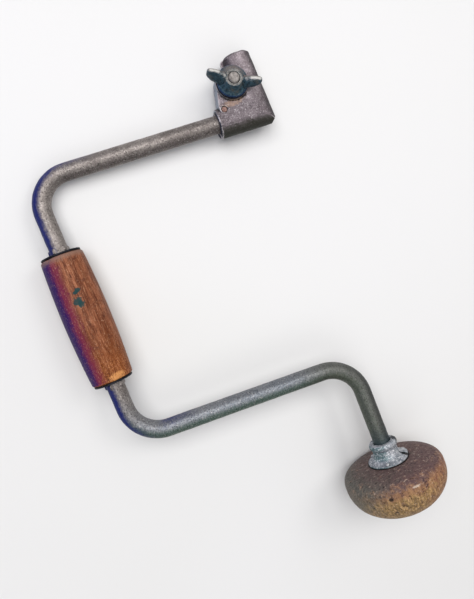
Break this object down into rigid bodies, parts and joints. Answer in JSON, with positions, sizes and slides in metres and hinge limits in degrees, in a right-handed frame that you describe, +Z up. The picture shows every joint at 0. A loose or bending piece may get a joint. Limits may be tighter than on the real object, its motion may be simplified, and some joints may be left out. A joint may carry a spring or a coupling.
{
  "type": "hand brace",
  "caption": "Carpenter's hand brace: cranked round bar with free-turning wooden head and handle, and an L-shaped clamp chuck for square tapered tangs, closed by a wing nut.",
  "frame": {"origin": "middle of the footprint, at floor level, with the brace lying on its knob rim, handle and bolt head", "axes": "+Z up; +Y along the brace axis as seen from above, from the knob towards the chuck; the crank's handle is at -X"},
  "size_m": [0.2186, 0.3572, 0.0762],
  "materials": {
    "bar_steel": "worn, finely pitted",
    "handle_wood": "stained, worn to a satin",
    "knob_wood": "worn, greyed",
    "washer_steel": "dark oxide",
    "ferrule_metal": "tinned, scuffed",
    "nail_steel": "dull",
    "chuck_iron": "rough cast, worn at the edges",
    "nut_iron": "dark cast",
    "bolt_steel": "worn bright at the end",
    "pin_steel": "rusty"
  },
  "bodies": {
    "crank": {"crank_rod": "bar_steel", "spindle_washer": "washer_steel", "chuck_rear_shell": "chuck_iron", "clamp_bolt": "bolt_steel", "guide_pin": "pin_steel"},
    "handle": {"handle_sleeve": "handle_wood", "handle_upper_washer": "washer_steel", "handle_lower_washer": "washer_steel"},
    "knob": {"knob_head": "knob_wood", "knob_ferrule": "ferrule_metal", "ferrule_nail_1": "nail_steel", "ferrule_nail_2": "nail_steel", "ferrule_nail_3": "nail_steel", "knob_thrust_disc": "washer_steel"},
    "front_jaw": {"chuck_front_shell": "chuck_iron", "clamp_washer": "washer_steel"},
    "wing_nut": {"wing_nut": "nut_iron"}
  },
  "joints": [
    {"name": "handle_spin", "type": "hinge", "parent": "crank", "child": "handle", "pos_m": [-0.09315, 0.04353, 0.01823], "axis": [0, 0.9965, -0.0838], "continuous": true},
    {"name": "knob_spin", "type": "hinge", "parent": "crank", "child": "knob", "pos_m": [0.07111, -0.15129, 0.03814], "axis": [0, 0.9965, -0.0838], "continuous": true},
    {"name": "front_jaw_slide", "type": "slide", "parent": "crank", "child": "front_jaw", "axis": [-0.0213, 0.0838, 0.9963], "range_m": [0, 0.003]},
    {"name": "wing_nut_turn", "type": "hinge", "parent": "front_jaw", "child": "wing_nut", "pos_m": [0.05961, 0.1581, 0.01186], "axis": [-0.0213, 0.0838, 0.9963], "range_deg": [0, 765]}
  ],
  "couplings": [
    {"joint": "wing_nut_turn", "follows": "front_jaw_slide", "rad_per_m": 4450}
  ]
}
